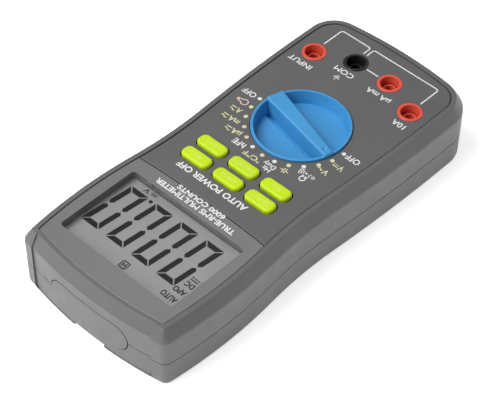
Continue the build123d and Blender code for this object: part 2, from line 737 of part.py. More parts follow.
def make_fuse_clips():
    """Sprung brass clips, open downward, that hold the fuse caps under the board."""
    clips = []
    for x, y, radius, length in FUSES.values():
        inner = radius + FUSE_CAP_PROUD + THREAD_GAP
        for side in (-1, 1):
            middle = y + side * (length - FUSE_CAP) / 2
            ring = Cylinder(inner + CLIP_THICK, CLIP_WIDTH) - Cylinder(inner, FAR)
            ring = Pos(x, middle, FUSE_Z) * Rot(90, 0, 0) * ring
            mouth = CLIP_MOUTH * radius
            ring -= block((x - mouth, x + mouth), (middle - CLIP_WIDTH, middle + CLIP_WIDTH), (0, FUSE_Z))
            foot_low = FUSE_Z + inner
            if BOARD_LOW - foot_low > CLIP_THICK:
                width = CLIP_WIDTH / 2
                leg_y = (middle - width, middle + width)
                ring += block((x - CLIP_LEG, x + CLIP_LEG), leg_y, (foot_low + FUSE, BOARD_LOW))
            clips.append(ring)
    return clips


def make_battery_cells():
    cells = []
    nub_r, nub_length = CELL_NUB
    for side in (-1, 1):
        cell = Cylinder(CELL_R, CELL_LENGTH)
        cell = fillet(cell.edges(), CELL_ROUND)
        cell += Pos(0, 0, side * (CELL_LENGTH + nub_length) / 2) * Cylinder(nub_r, nub_length)
        cells.append(Pos(side * CELL_X, CELL_Y, CELL_Z) * Rot(90, 0, 0) * cell)
    return cells


def make_battery_contacts():
    """Plates at both ends of the cells, with a coil on each negative end."""
    nub = CELL_NUB[1] + FUSE
    parts = []
    for side in (-1, 1):
        for end in (-1, 1):
            positive = end == -side
            reach = CELL_LENGTH / 2 + (nub if positive else SPRING_ROOM)
            near = CELL_Y + end * reach
            far = near + end * CONTACT_THICK
            x = side * CELL_X
            plate = block(
                (x - CONTACT_HALF, x + CONTACT_HALF), (min(near, far), max(near, far)), (CONTACT_LOW, BAY_TOP)
            )
            if not positive:
                coil = make_coil(*COIL_RADII, SPRING_ROOM - CLEAR_GAP)
                plate += Pos(x, near + end * FUSE, CELL_Z) * Rot(90 * end, 0, 0) * coil
            parts.append(plate)
    return parts


def make_coil(top_radius, base_radius, height):
    """Short conical contact spring standing on its base, as a stack of wire rings."""
    rings = []
    for turn in range(COIL_TURNS):
        share = turn / (COIL_TURNS - 1)
        radius = base_radius + (top_radius - base_radius) * share
        rings.append(Pos(0, 0, COIL_WIRE + (height - 2 * COIL_WIRE) * share) * Torus(radius, COIL_WIRE))
    spine_run = base_radius - top_radius
    tilt = math.degrees(math.atan(spine_run / height))
    middle = (base_radius + top_radius) / 2
    spine = Pos(middle, 0, height / 2) * Rot(0, -tilt, 0) * Cylinder(COIL_WIRE, height - COIL_WIRE)
    return rings[0] + rings[1:] + spine


def make_battery_cover():
    heights = (CASE_BOTTOM, CASE_BOTTOM + COVER_THICK)
    cover = block((-COVER_HALF, COVER_HALF), (COVER_LOW_Y, COVER_HIGH_Y), heights)
    cover = chamfer(edges_at(cover, CASE_BOTTOM), COVER_EDGE)
    head_top = CASE_BOTTOM + FUSE + COVER_SCREW_HEAD
    cover -= post(0, COVER_SCREW_Y, BOARD_SCREW_HEAD_R + BOSS_GAP, 0, head_top)
    return cover - post(0, COVER_SCREW_Y, BOARD_SCREW_R + CLEAR_GAP, 0, SPLIT_Z)


def cross_recess(x, y, low, high, radius):
    """Two crossed slots in a screw's head."""
    reach = 0.55 * radius
    half = CROSS_SLOT / 2
    return [
        block((x - reach, x + reach), (y - half, y + half), (low, high)),
        block((x - half, x + half), (y - reach, y + reach), (low, high)),
    ]


def screw_up(x, y, head_low, head_height, head_radius, radius, tip):
    """Screw driven upward, with its head at the bottom."""
    head = post(x, y, head_radius, head_low, head_low + head_height)
    head = fillet(edges_at(head, head_low), CROSS_SLOT)
    head -= cross_recess(x, y, head_low - OVER, head_low + CROSS_DEEP, head_radius)
    return head + post(x, y, radius, head_low + head_height - FUSE, tip)


def make_case_screws():
    head_low = CASE_SCREW_SEAT - CASE_SCREW_HEAD
    return [
        screw_up(x, y, head_low, CASE_SCREW_HEAD, CASE_SCREW_HEAD_R, CASE_SCREW_R, CASE_SCREW_TOP)
        for x, y in CASE_SCREWS
    ]


def make_board_screws():
    head_low = BOARD_LOW - BOARD_SCREW_HEAD
    return [
        screw_up(x, y, head_low, BOARD_SCREW_HEAD, BOARD_SCREW_HEAD_R, BOARD_SCREW_R, BOARD_SCREW_TOP)
        for x, y in BOARD_SCREWS
    ]


def make_cover_screw():
    head_low = CASE_BOTTOM + FUSE
    head = (COVER_SCREW_HEAD, BOARD_SCREW_HEAD_R)
    return screw_up(0, COVER_SCREW_Y, head_low, *head, BOARD_SCREW_R, COVER_SCREW_TOP)


def make_tilt_stand():
    plate = block(
        (-STAND_HALF, STAND_HALF), (STAND_HINGE_Y, STAND_END_Y), (STAND_LOW, STAND_LOW + STAND_THICK)
    )
    corners = plate.edges().filter_by(Axis.Z).sort_by(Axis.Y)[-2:]
    plate = fillet(corners, STAND_CORNER)
    plate = chamfer(edges_at(plate, STAND_LOW), STAND_EDGE)
    plate += block(
        (-TAB_HALF, TAB_HALF), (STAND_END_Y - OVER, TAB_END_Y), (STAND_LOW, STAND_LOW + TAB_THICK)
    )
    axle = Pos(0, STAND_HINGE_Y, STAND_HINGE_Z) * Rot(0, 90, 0)
    plate += axle * Cylinder(STAND_BARREL_R, 2 * STAND_HALF)
    plate -= axle * Cylinder(STAND_ROD_R + RUNNING_GAP, 3 * STAND_HALF)
    heights = (STAND_LOW + STAND_SKIN, STAND_LOW + STAND_THICK + OVER)
    for side in (-1, 1):
        edges = sorted((side * STAND_SPINE, side * (STAND_HALF - STAND_EAR)))
        plate -= block(edges, (STAND_HINGE_Y + STAND_BORDER, STAND_END_Y - STAND_BORDER), heights)
    return plate


def make_stand_hinge_rod():
    axle = Pos(0, STAND_HINGE_Y, STAND_HINGE_Z) * Rot(0, 90, 0)
    return axle * Cylinder(STAND_ROD_R, 2 * (STAND_HALF + STAND_EAR - ROD_SHORT - BOSS_GAP))


def make_rubber_feet():
    feet = []
    for x, y in FEET:
        foot = post(x, y, FOOT_R, 0, FOOT_THICK)
        feet.append(fillet(edges_at(foot, 0), FOOT_ROUND))
    return feet


def plug_layer(grow, outer_in, inner_in):
    """Oval layer of the plug that follows the end wall, between two depths in it."""
    layer = slab(outer_in, 0, EDGE_Z) - slab(inner_in, -OVER, EDGE_Z + OVER)
    return stadium_prism(grow, LENGTH / 2 - END_REACH, LENGTH) & layer


def make_end_plug():
    """Oval plug: a cap in the end face, a neck through the wall and a flange behind it."""
    flange_in = WALL + 0.5
    cap = plug_layer(0, END_STEP, PLUG_DEPTH)
    neck = plug_layer(-PLUG_NECK_IN, PLUG_DEPTH - WIDE_GAP, flange_in + PLUG_FLANGE_THICK / 2)
    return cap + neck + plug_layer(PLUG_FLANGE, flange_in, flange_in + PLUG_FLANGE_THICK)


def make_buzzer():
    x, y = BUZZER_AT
    can = post(x, y, BUZZER_R, BOARD_TOP, BOARD_TOP + BUZZER_HIGH)
    top = BOARD_TOP + BUZZER_HIGH
    return can - post(x, y, BUZZER_PORT_R, top - OVER, top + OVER)


def make_meter_chips():
    chips = []
    for x, y, width, height in CHIPS:
        chip = Pos(x, y, BOARD_TOP + CHIP_LEG_GAP + CHIP_THICK / 2) * Box(width, height, CHIP_THICK)
        chips.append(chamfer(chip.edges().group_by(Axis.Z)[-1], CHIP_EDGE))
    return chips


def make_current_shunt():
    """Bridge of thick resistance wire, standing on the board beside the sockets."""
    high = BOARD_TOP + SHUNT_HIGH
    legs = [post(x, SHUNT_Y, SHUNT_WIRE_R, BOARD_TOP, high) for x in (-SHUNT_HALF, SHUNT_HALF)]
    bridge = Pos(0, SHUNT_Y, high - SHUNT_WIRE_R) * Rot(0, 90, 0) * Cylinder(SHUNT_WIRE_R, 2 * SHUNT_HALF)
    return bridge + legs


def write(name, shape):
    """Save one node; a list of shapes becomes one node of separate solids."""
    if isinstance(shape, (list, tuple)):
        shape = Compound(children=[piece.solids()[0] for piece in shape])
    export_step(shape, f"parts/{name}.step")


def main():
    os.makedirs("parts", exist_ok=True)
    write("front_case", make_front_case())
    write("rear_case", make_rear_case())
    write("front_panel", make_front_panel())
    write("display_lens", make_display_lens())
    write("lcd_glass", make_lcd_glass())
    write("lcd_holder", make_lcd_holder())
    write("zebra_strips", make_zebra_strips())
    write("circuit_board", make_circuit_board())
    write("range_knob", make_range_knob())
    write("knob_hub", make_knob_hub())
    write("wiper_contacts", make_wiper_contacts())
    write("detent_springs", make_detent_springs())
    for name, x, y in button_places():
        write(name, make_button(x, y))
    write("keypad", make_keypad())
    for name, (x, y) in SOCKETS.items():
        write(name, make_socket(x, y))
    write("contact_sleeves", make_contact_sleeves())
    for name, (x, y, radius, length) in FUSES.items():
        write(name, make_fuse_body(x, y, radius, length))
    write("fuse_caps", make_fuse_caps())
    write("fuse_clips", make_fuse_clips())
    write("battery_cells", make_battery_cells())
    write("battery_contacts", make_battery_contacts())
    write("battery_cover", make_battery_cover())
    write("battery_cover_screw", make_cover_screw())
    write("case_screws", make_case_screws())
    write("board_screws", make_board_screws())
    write("tilt_stand", make_tilt_stand())
    write("stand_hinge_rod", make_stand_hinge_rod())
    write("rubber_feet", make_rubber_feet())
    write("end_plug", make_end_plug())
    write("buzzer", make_buzzer())
    write("meter_chips", make_meter_chips())
    write("current_shunt", make_current_shunt())


main()
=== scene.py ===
import json
import math

import bmesh
import bpy
from mathutils import Matrix, Vector


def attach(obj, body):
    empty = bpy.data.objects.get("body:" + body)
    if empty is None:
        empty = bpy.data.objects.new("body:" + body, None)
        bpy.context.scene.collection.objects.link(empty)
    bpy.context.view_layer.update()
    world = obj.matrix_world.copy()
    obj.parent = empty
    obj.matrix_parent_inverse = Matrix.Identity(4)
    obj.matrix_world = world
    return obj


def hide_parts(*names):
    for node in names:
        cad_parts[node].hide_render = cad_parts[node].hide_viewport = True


# Looks of the handheld multimeter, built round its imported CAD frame.
# Sizes written here are millimetres; Blender's own unit is the metre.
MM = 0.001

# Camera, aimed at a point of the panel
CAMERA_AZIMUTH = 133.172
CAMERA_ELEVATION = 46.394
CAMERA_ROLL = 0.652
CAMERA_DISTANCE = 762.164
CAMERA_TARGET = (-13.359, 18.378, 30.2)
CAMERA_LENS = 138.35

# Heights of the printed surfaces, of the ink over them and of the gap under it
PANEL_Z = 30.2
LENS_LOW_Z = 28.4
LCD_Z = 26.4
INK = 0.03
INK_GAP = 0.005

# Rotary switch scale
KNOB_Y = -27.7
DOT_RING_R = 23.7
DOT_R = 0.95
DOT_STEP = 15

# Printed letters: usual height and two weights; and widths of printed lines
LETTER = 2.9
REGULAR = 0.018
BOLD = 0.03
RUNG_LINE = 0.4
BEEPER_LINE = 0.42
WAVE_LINE = 0.45
SYMBOL_LINE = 0.5
BRACKET_LINE = 0.6
BRACKET_ROUND = 1.4
WAVE_HEIGHT = 0.45
WAVE_STEPS = 12

# Push buttons: name, centre and word
BUTTON_TOP = 31.8
BUTTON_PITCH_X = 17.8
BUTTON_ROWS_Y = (15.9, 6.75)
BUTTON_WORDS = (
    (("select_button", "SELECT"), ("range_button", "RANGE"), ("hold_button", "HOLD")),
    (("relative_button", "REL"), ("max_min_button", "MAX/MIN"), ("light_button", "LIGHT")),
)
WORD_LETTER_WIDTH = 1.55
WORD_HEIGHT = 2.0

# Insulating collars on the contact sleeves, deep in the sockets
SOCKETS = {"10a": (-27.1, -65.4), "ma": (-9.5, -72.8), "com": (9.5, -72.8), "volt": (27.1, -65.4)}
COLLAR_R = (2.1, 2.95)
COLLAR_Z = (24.3, 27.2)
COLLAR_EDGE = 0.2
COLLAR_SIDES = 48

# Studio: a white light table, its half width in metres, and square lamps, each with its
# name, azimuth, elevation, distance and width in metres, and power in watts
FLOOR_GLOW = 0.6
FLOOR_HALF = 3.0
WORLD_GLOW = 0.25
LAMPS = (
    ("key", 45, 60, 1.2, 0.7, 12),
    ("end", 85, 35, 1.2, 0.5, 4),
    ("side", -150, 8, 1.2, 0.6, 0.4),
    ("rim", -108, 12, 1.2, 0.5, 3),
    ("glint", -43.3, 51.8, 1.136, 0.22, 0.25),
)

# Display
WINDOW = (62.4, 40.6)
WINDOW_Y = 59.1
WINDOW_ROUND = 1.5
PANE_THICK = 0.8
PANE_SUNK = 0.005
PANE_GAP = 0.02
OVERCUT = 1
DIGIT_X = (-24.1, -9.9, 4.3, 18.4)
DIGIT_LOW = 42.7
DIGIT_SIZE = (9.9, 26.3)
DIGIT_STROKE = 2.5
DIGIT_SLANT = 0.085
DIGIT_GAP = 0.35

# Where the two colours of a battery sleeve meet, along its length
CELL_BAND_Y = (-14.2, -14.0)


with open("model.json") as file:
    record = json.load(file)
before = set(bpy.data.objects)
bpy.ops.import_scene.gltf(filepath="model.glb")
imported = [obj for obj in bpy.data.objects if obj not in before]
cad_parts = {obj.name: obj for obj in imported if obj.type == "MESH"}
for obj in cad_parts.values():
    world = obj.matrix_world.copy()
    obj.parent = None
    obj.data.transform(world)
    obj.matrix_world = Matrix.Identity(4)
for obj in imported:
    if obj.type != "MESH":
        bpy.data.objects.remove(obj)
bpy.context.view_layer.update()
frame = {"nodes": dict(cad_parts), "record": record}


# ---------------------------------------------------------------- materials

class Surface:
    """One material, with short calls that add its nodes."""

    def __init__(self, name):
        self.material = bpy.data.materials.new(name)
        self.material.use_nodes = True
        self.nodes = self.material.node_tree.nodes
        self.links = self.material.node_tree.links
        self.shader = self.nodes["Principled BSDF"]
        self.place = self.nodes.new("ShaderNodeTexCoord").outputs["Object"]

    def set(self, **values):
        for key, value in values.items():
            self.shader.inputs[key.replace("_", " ")].default_value = value

    def link(self, output, socket):
        self.links.new(output, self.shader.inputs[socket])

    def noise(self, size_mm, detail=3.0, stretch=(1, 1, 1)):
        """Noise whose features are about size_mm across."""
        scaled = self.nodes.new("ShaderNodeMapping")
        scaled.inputs["Scale"].default_value = stretch
        self.links.new(self.place, scaled.inputs["Vector"])
        node = self.nodes.new("ShaderNodeTexNoise")
        node.inputs["Scale"].default_value = 1 / (size_mm * MM)
        node.inputs["Detail"].default_value = detail
        self.links.new(scaled.outputs["Vector"], node.inputs["Vector"])
        return node.outputs["Fac"]

    def remap(self, value, low, high, start=0.3, end=0.7):
        node = self.nodes.new("ShaderNodeMapRange")
        for socket, number in (("From Min", start), ("From Max", end), ("To Min", low), ("To Max", high)):
            node.inputs[socket].default_value = number
        self.links.new(value, node.inputs["Value"])
        return node.outputs["Result"]

    def mix(self, share, first, second):
        """Colour between first and second, each a colour or an output."""
        node = self.nodes.new("ShaderNodeMix")
        node.data_type = "RGBA"
        self.links.new(share, node.inputs[0])
        for socket, value in ((node.inputs[6], first), (node.inputs[7], second)):
            if isinstance(value, bpy.types.NodeSocket):
                self.links.new(value, socket)
            else:
                socket.default_value = (*value, 1)
        return node.outputs[2]

    def multiply(self, first, second):
        node = self.nodes.new("ShaderNodeMath")
        node.operation = "MULTIPLY"
        self.links.new(first, node.inputs[0])
        self.links.new(second, node.inputs[1])
        return node.outputs[0]

    def edges(self, radius_mm):
        """Mask that rises to 1 on sharp convex or concave edges."""
        bevel = self.nodes.new("ShaderNodeBevel")
        bevel.samples = 4
        bevel.inputs["Radius"].default_value = radius_mm * MM
        flat = self.nodes.new("ShaderNodeNewGeometry").outputs["Normal"]
        dot = self.nodes.new("ShaderNodeVectorMath")
        dot.operation = "DOT_PRODUCT"
        self.links.new(bevel.outputs["Normal"], dot.inputs[0])
        self.links.new(flat, dot.inputs[1])
        return self.remap(dot.outputs["Value"], 1, 0, 0.72, 0.985)

    def bump(self, height, depth_mm):
        node = self.nodes.new("ShaderNodeBump")
        node.inputs["Distance"].default_value = depth_mm * MM
        self.links.new(height, node.inputs["Height"])
        self.link(node.outputs["Normal"], "Normal")


def shade(colour, factor):
    return tuple(min(channel * factor, 1) for channel in colour)


def moulded(name, colour, roughness, grain=0.35, depth=0.02, painted_edge_highlight=0.25, spread=0.05, **extra):
    """Moulded plastic or rubber: fine grain, broad uneven sheen and a patchy painted highlight on sharp
    edges.
    """
    surface = Surface(name)
    broad = surface.noise(22.0)
    fine = surface.noise(grain, 2.0)
    colours = surface.mix(surface.remap(broad, 0, 1), shade(colour, 1 - spread), shade(colour, 1 + spread))
    # Painted highlight: sharp convex and concave edges are lightened in patches towards a brighter copy of
    # the colour, standing in for light catching them.
    edge_highlight_share = surface.multiply(surface.edges(0.35), surface.remap(surface.noise(3.0), 0, painted_edge_highlight))
    colours = surface.mix(edge_highlight_share, colours, shade(colour, 1.9))
    surface.link(colours, "Base Color")
    surface.link(surface.remap(surface.noise(6.0, 4.0), roughness - 0.05, roughness + 0.06), "Roughness")
    surface.bump(fine, depth)
    surface.set(**extra)
    return surface.material


def metal(name, colour, roughness, stretch=(1, 1, 1)):
    """Metal with drawn or machined streaks and slight tarnish."""
    surface = Surface(name)
    streaks = surface.noise(0.4, 2.0, stretch)
    tarnish = surface.remap(surface.noise(4.0), 0, 1)
    surface.link(surface.mix(tarnish, shade(colour, 0.8), colour), "Base Color")
    surface.link(surface.remap(streaks, roughness - 0.08, roughness + 0.12), "Roughness")
    surface.bump(streaks, 0.01)
    surface.set(Metallic=1.0)
    return surface.material


def printed(name, colour, **extra):
    """Screen-printed ink: nearly even, with slightly thin patches."""
    surface = Surface(name)
    patches = surface.remap(surface.noise(0.6, 4.0), 0, 1, 0.35, 0.65)
    surface.link(surface.mix(patches, shade(colour, 0.86), colour), "Base Color")
    surface.link(surface.remap(surface.noise(1.5), 0.4, 0.55), "Roughness")
    surface.bump(surface.noise(0.2), 0.004)
    surface.set(**extra)
    return surface.material


def clear_plastic(name):
    """Clear window with a satin reflection and faint wipe marks."""
    surface = Surface(name)
    marks = surface.noise(5.0, 5.0, (1, 6, 1))
    surface.link(surface.remap(marks, 0.16, 0.24), "Roughness")
    surface.link(surface.mix(marks, (0.02, 0.02, 0.02), (0.04, 0.04, 0.04)), "Base Color")
    surface.bump(surface.noise(9.0), 0.004)
    surface.set(Alpha=0.14)
    return surface.material


def cell_wrap(name, colour, band):
    """Printed sleeve of a battery cell: two plain bands along its length."""
    surface = Surface(name)
    split = surface.nodes.new("ShaderNodeSeparateXYZ")
    surface.links.new(surface.place, split.inputs[0])
    bands = surface.remap(split.outputs["Y"], 0, 1, *(y * MM for y in CELL_BAND_Y))
    colours = surface.mix(bands, colour, band)
    scuffs = surface.remap(surface.noise(1.2), 0, 0.25)
    surface.link(surface.mix(scuffs, colours, shade(colour, 0.6)), "Base Color")
    surface.link(surface.remap(surface.noise(2.0), 0.2, 0.35), "Roughness")
    surface.bump(surface.noise(3.0), 0.01)
    return surface.material


def circuit_green(name, colour, trace):
    """Solder mask with the faint raised pattern of the tracks under it."""
    surface = Surface(name)
    tracks = surface.nodes.new("ShaderNodeTexBrick")
    tracks.inputs["Scale"].default_value = 90.0
    tracks.inputs["Mortar Size"].default_value = 0.05
    surface.links.new(surface.place, tracks.inputs["Vector"])
    surface.link(surface.mix(tracks.outputs["Fac"], colour, trace), "Base Color")
    surface.link(surface.remap(surface.noise(3.0), 0.25, 0.4), "Roughness")
    surface.bump(tracks.outputs["Fac"], 0.03)
    return surface.material


CASE_GREY = (0.122, 0.121, 0.122)
PANEL_GREY = (0.110, 0.109, 0.110)
LENS_GREY = (0.15, 0.15, 0.15)
KNOB_BLUE = (0.05, 0.29, 0.60)
LIME = (0.53, 0.74, 0.010)
LCD_GREY = (0.55, 0.55, 0.55)

# The edge setting of each moulded material is the strength of its painted edge highlight.
MATERIALS = {
    "case_grey": moulded("case_grey", CASE_GREY, 0.48, grain=0.45, depth=0.03),
    "panel_grey": moulded("panel_grey", PANEL_GREY, 0.45, grain=0.4, depth=0.02, painted_edge_highlight=0.15),
    "lens_clear": clear_plastic("lens_clear"),
    "lcd_film": moulded(
        "lcd_film", LCD_GREY, 0.34, grain=0.25, depth=0.003, painted_edge_highlight=0.0, spread=0.04, Metallic=0.4
    ),
    "inner_white": moulded("inner_white", (0.74, 0.74, 0.70), 0.45),
    "silicone_grey": moulded("silicone_grey", (0.26, 0.26, 0.27), 0.7, grain=0.2),
    "board_green": circuit_green("board_green", (0.012, 0.075, 0.03), (0.03, 0.15, 0.05)),
    "spring_steel": metal("spring_steel", (0.55, 0.55, 0.56), 0.3),
    "socket_red": moulded("socket_red", (0.72, 0.09, 0.055), 0.32, grain=0.8, depth=0.006, painted_edge_highlight=0.2),
    "socket_black": moulded("socket_black", (0.012, 0.012, 0.013), 0.3, grain=0.8, depth=0.006, painted_edge_highlight=0.3),
    "contact_brass": metal("contact_brass", (0.50, 0.33, 0.13), 0.34, (1, 1, 8)),
    "fuse_ceramic": moulded("fuse_ceramic", (0.78, 0.75, 0.66), 0.3, grain=1.0, depth=0.01, painted_edge_highlight=0.0),
    "plated_cap": metal("plated_cap", (0.72, 0.72, 0.73), 0.22),
    "cell_wrap": cell_wrap("cell_wrap", (0.02, 0.035, 0.09), (0.42, 0.42, 0.43)),
    "screw_steel": metal("screw_steel", (0.40, 0.40, 0.42), 0.35),
    "foot_rubber": moulded("foot_rubber", (0.02, 0.02, 0.021), 0.8, grain=0.3, depth=0.05, painted_edge_highlight=0.3),
    "chip_black": moulded("chip_black", (0.02, 0.02, 0.021), 0.55, grain=0.2, depth=0.02),
    "shunt_wire": metal("shunt_wire", (0.55, 0.40, 0.28), 0.35, (8, 1, 1)),
    "knob_blue": moulded("knob_blue", KNOB_BLUE, 0.42, grain=0.5, depth=0.012, painted_edge_highlight=0.35),
    "button_lime": moulded(
        "button_lime", LIME, 0.46, grain=0.4, depth=0.012, painted_edge_highlight=0.1, Specular_IOR_Level=0.3
    ),
}
LENS_PRINT = moulded(
    "lens_print", LENS_GREY, 0.4, grain=0.5, depth=0.004, painted_edge_highlight=0.5, spread=0.03,
    Coat_Weight=0.4, Coat_Roughness=0.2,
)
INK_WHITE = printed("ink_white", (0.80, 0.80, 0.79))
INK_CREAM = printed("ink_cream", (0.72, 0.70, 0.42))
INK_PEACH = printed("ink_peach", (0.76, 0.58, 0.46))
# Painted highlight: a lighter lime for the button words, standing in for light caught by letters raised in
# the button's own colour.
LIME_WORD_HIGHLIGHT = printed("lime_word_highlight", (0.70, 0.84, 0.16))
INK_LCD = printed("ink_lcd", (0.010, 0.011, 0.014), Specular_IOR_Level=0.1)


# ---------------------------------------------------------------- flat artwork

def smooth_corners(points, radius, steps=5):
    """Path with each inner corner of points turned into a small arc."""
    path = [Vector(points[0])]
    for before, corner, after in zip(points, points[1:], points[2:]):
        before, corner, after = Vector(before), Vector(corner), Vector(after)
        start = corner + (before - corner).normalized() * radius
        end = corner + (after - corner).normalized() * radius
        for step in range(steps + 1):
            t = step / steps
            path.append((1 - t) ** 2 * start + 2 * t * (1 - t) * corner + t ** 2 * end)
    path.append(Vector(points[-1]))
    return path


def arc(x, y, radius, start, end, steps=16):
    angles = [math.radians(start + (end - start) * step / steps) for step in range(steps + 1)]
    return [(x + radius * math.cos(a), y + radius * math.sin(a)) for a in angles]


class Artwork:
    """Flat printed shapes of one colour, collected in one mesh. Places are in millimetres."""

    def __init__(self):
        self.mesh = bmesh.new()

    def polygon(self, points):
        self.mesh.faces.new([self.mesh.verts.new((x, y, 0)) for x, y in points])

    def disc(self, x, y, radius):
        self.polygon(arc(x, y, radius, 0, 345, 23))

    def line(self, points, width):
        """Line of even width along points."""
        path = [Vector(point) for point in points]
        sides = []
        for index, point in enumerate(path):
            back = path[index - 1] if index else None
            ahead = path[index + 1] if index < len(path) - 1 else None
            into = (point - back).normalized() if back is not None else (ahead - point).normalized()
            out = (ahead - point).normalized() if ahead is not None else into
            along = (into + out).normalized()
            reach = width / 2 / max(along.dot(into), 0.5)
            across = Vector((-along.y, along.x)) * reach
            sides.append([self.mesh.verts.new((*spot, 0)) for spot in (point + across, point - across)])
        for (left, right), (next_left, next_right) in zip(sides, sides[1:]):
            self.mesh.faces.new((left, right, next_right, next_left))

    def dash(self, x_low, x_high, y, width):
        self.line([(x_low, y), (x_high, y)], width)

    def text(self, words, x_low, x_high, y, height=LETTER, weight=REGULAR):
        """Capitals of the given height centred on y, stretched to the given width."""
        cap = flat_letters("H", weight)
        cap_height = max(v.co.y for v in cap.vertices)
        letters = flat_letters(words, weight)
        left = min(v.co.x for v in letters.vertices)
        right = max(v.co.x for v in letters.vertices)
        tall = height / cap_height
        wide = (x_high - x_low) / (right - left)
        letters.transform(
            Matrix.Translation((x_low, y - height / 2, 0)) @ Matrix.Diagonal((wide, tall, 1, 1))
            @ Matrix.Translation((-left, 0, 0))
        )
        self.mesh.from_mesh(letters)
        for used in (cap, letters):
            bpy.data.meshes.remove(used)

    def finish(self, name, z, material, body="case", slot=None):
        """Gives the shapes the thickness of a film on the surface at z, and mounts them."""
        for vertex in self.mesh.verts:
            vertex.co = (vertex.co.x * MM, vertex.co.y * MM, (z + INK) * MM)
        self.mesh.normal_update()
        for face in self.mesh.faces:
            if face.normal.z < 0:
                face.normal_flip()
        piece = new_piece(name, self.mesh, material, body)
        film = piece.modifiers.new("film", "SOLIDIFY")
        film.thickness = (INK - INK_GAP) * MM
        film.offset = -1
        return piece


def flat_letters(words, weight):
    curve = bpy.data.curves.new("letters", "FONT")
    curve.body = words
    curve.offset = weight
    curve.resolution_u = 4
    holder = bpy.data.objects.new("letters", curve)
    bpy.context.scene.collection.objects.link(holder)
    bpy.context.view_layer.update()
    mesh = bpy.data.meshes.new_from_object(holder.evaluated_get(bpy.context.evaluated_depsgraph_get()))
    bpy.data.objects.remove(holder)
    bpy.data.curves.remove(curve)
    return mesh


def new_piece(name, shape, material, body):
    """Object made from a bmesh, riding on a body."""
    mesh = bpy.data.meshes.new(name)
    shape.to_mesh(mesh)
    shape.free()
    mesh.materials.append(material)
    for polygon in mesh.polygons:
        polygon.use_smooth = False
    piece = bpy.data.objects.new(name, mesh)
    bpy.context.scene.collection.objects.link(piece)
    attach(piece, body)
    return piece


# ---------------------------------------------------------------- legends

def steady_bars(art, x, y, width):
    """Direct-current symbol: a bar over three dashes."""
    art.dash(x, x + width, y + 0.5, WAVE_LINE)
    for dash in range(3):
        start = x + dash * width / 2.6
        art.dash(start, start + width / 4.3, y - 0.5, WAVE_LINE)


def wave(art, x, y, width):
    """One period of a sine wave."""
    turns = [step / WAVE_STEPS for step in range(WAVE_STEPS + 1)]
    points = [(x + width * turn, y + WAVE_HEIGHT * math.sin(2 * math.pi * turn)) for turn in turns]
    art.line(points, WAVE_LINE)


def wave_over_bar(art, x, y, width):
    """Alternating or direct current symbol."""
    wave(art, x, y + 0.8, width)
    art.dash(x, x + width, y - 0.8, WAVE_LINE)


def diode(art, x, y):
    art.dash(x, x + 3.6, y, RUNG_LINE)
    art.polygon([(x + 0.8, y + 1.0), (x + 0.8, y - 1.0), (x + 2.6, y)])
    art.line([(x + 2.8, y + 1.0), (x + 2.8, y - 1.0)], WAVE_LINE)


def beeper(art, x, y):
    art.disc(x, y, 0.5)
    for radius in (1.3, 2.3, 3.2):
        art.line(arc(x, y, radius, -38, 38, 8), BEEPER_LINE)


def capacitor(art, x, y):
    art.dash(x, x + 1.5, y, WAVE_LINE)
    art.dash(x + 2.5, x + 4.0, y, WAVE_LINE)
    art.line([(x + 1.5, y + 1.4), (x + 1.5, y - 1.4)], SYMBOL_LINE)
    art.line([(x + 2.5, y + 1.4), (x + 2.5, y - 1.4)], SYMBOL_LINE)


def clamp_jaws(art, x, y):
    """Clamp probe: two jaws and a handle."""
    art.line(arc(x + 1.9, y, 1.6, 25, 335, 18), SYMBOL_LINE)
    for side in (1, -1):
        art.line([(x + 3.4, y + side * 0.8), (x + 5.9, y + side * 0.5)], SYMBOL_LINE)
    art.polygon([(x + 4.6, y + 0.7), (x + 4.6, y - 0.7), (x + 6.4, y)])


def make_scale():
    """Dots and legends round the rotary switch."""
    white, cream, peach = Artwork(), Artwork(), Artwork()
    inks = {"w": white, "c": cream, "p": peach}
    for step, ink in enumerate("wccppwcwcwccw"):
        angle = math.radians(DOT_STEP * step)
        inks[ink].disc(DOT_RING_R * math.cos(angle), KNOB_Y + DOT_RING_R * math.sin(angle), DOT_R)
    y = KNOB_Y
    white.text("OFF", -32.0, -25.2, y)
    white.text("OFF", 26.0, 32.8, y + 0.3)
    cream.text("V", -29.6, -27.2, y + 7.2)
    steady_bars(cream, -26.9, y + 7.2, 2.6)
    cream.text("V", -26.6, -24.0, y + 13.2)
    wave(cream, -23.7, y + 13.0, 2.4)
    white.text("Ω", -22.3, -19.3, y + 22.0, 2.9)
    diode(white, -24.9, y + 19.0)
    beeper(white, -20.2, y + 19.0)
    capacitor(cream, -14.6, y + 23.9)
    white.text("Hz", -8.6, -4.6, y + 28.4, 2.2)
    white.text("Duty", -9.2, -3.0, y + 25.9, 2.2)
    cream.text("°C/°F", -2.0, 6.9, y + 27.3, 2.5)
    white.text("hFE", 8.5, 14.8, y + 25.2)
    cream.text("µA", 14.7, 19.3, y + 21.6)
    wave_over_bar(cream, 19.8, y + 21.6, 2.8)
    cream.text("mA", 20.0, 25.4, y + 17.0)
    wave_over_bar(cream, 26.0, y + 17.0, 2.9)
    cream.text("A", 23.9, 26.2, y + 11.5)
    wave_over_bar(cream, 26.7, y + 11.5, 2.7)
    clamp_jaws(peach, 25.0, y + 6.0)
    white.finish("scale_white", PANEL_Z, INK_WHITE)
    cream.finish("scale_cream", PANEL_Z, INK_CREAM)
    peach.finish("scale_peach", PANEL_Z, INK_PEACH)


